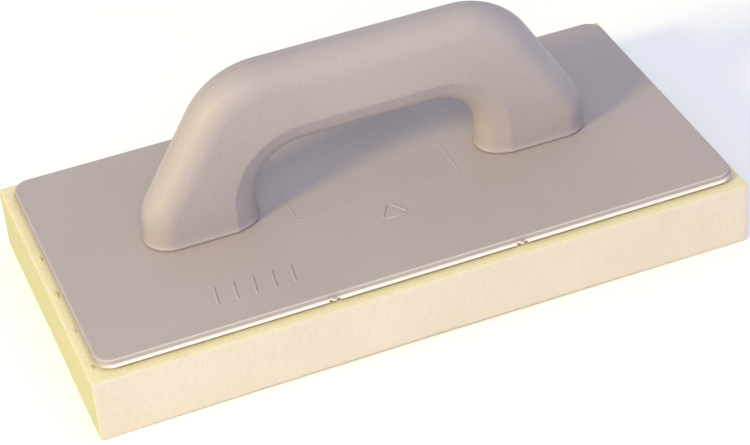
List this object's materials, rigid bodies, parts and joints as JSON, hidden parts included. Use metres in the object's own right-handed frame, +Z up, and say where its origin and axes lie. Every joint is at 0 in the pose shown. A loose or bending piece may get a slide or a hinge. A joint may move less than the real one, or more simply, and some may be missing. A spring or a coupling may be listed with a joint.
{
  "type": "sponge float",
  "caption": "Flat rectangular sponge float: a thick foam pad under a thin plastic backing plate with a hollow bow handle.",
  "frame": {"origin": "centre of the pad's working face, which is the lowest plane of the object", "axes": "+X along the length, +Y across the width to the back, +Z up towards the handle"},
  "size_m": [0.28, 0.14, 0.1035],
  "materials": {
    "sponge_foam": "cut open-cell foam, matte, fine pores",
    "adhesive": "dried contact adhesive, satin",
    "plate_plastic": "moulded, fine satin texture",
    "handle_plastic": "moulded, fine satin texture",
    "screw_steel": "zinc plated"
  },
  "bodies": {
    "root": {"sponge_pad": "sponge_foam", "adhesive_film": "adhesive", "backing_plate": "plate_plastic", "handle_front_shell": "handle_plastic", "handle_back_shell": "handle_plastic", "handle_screw_1": "screw_steel", "handle_screw_2": "screw_steel", "handle_screw_3": "screw_steel", "handle_screw_4": "screw_steel"}
  },
  "joints": []
}
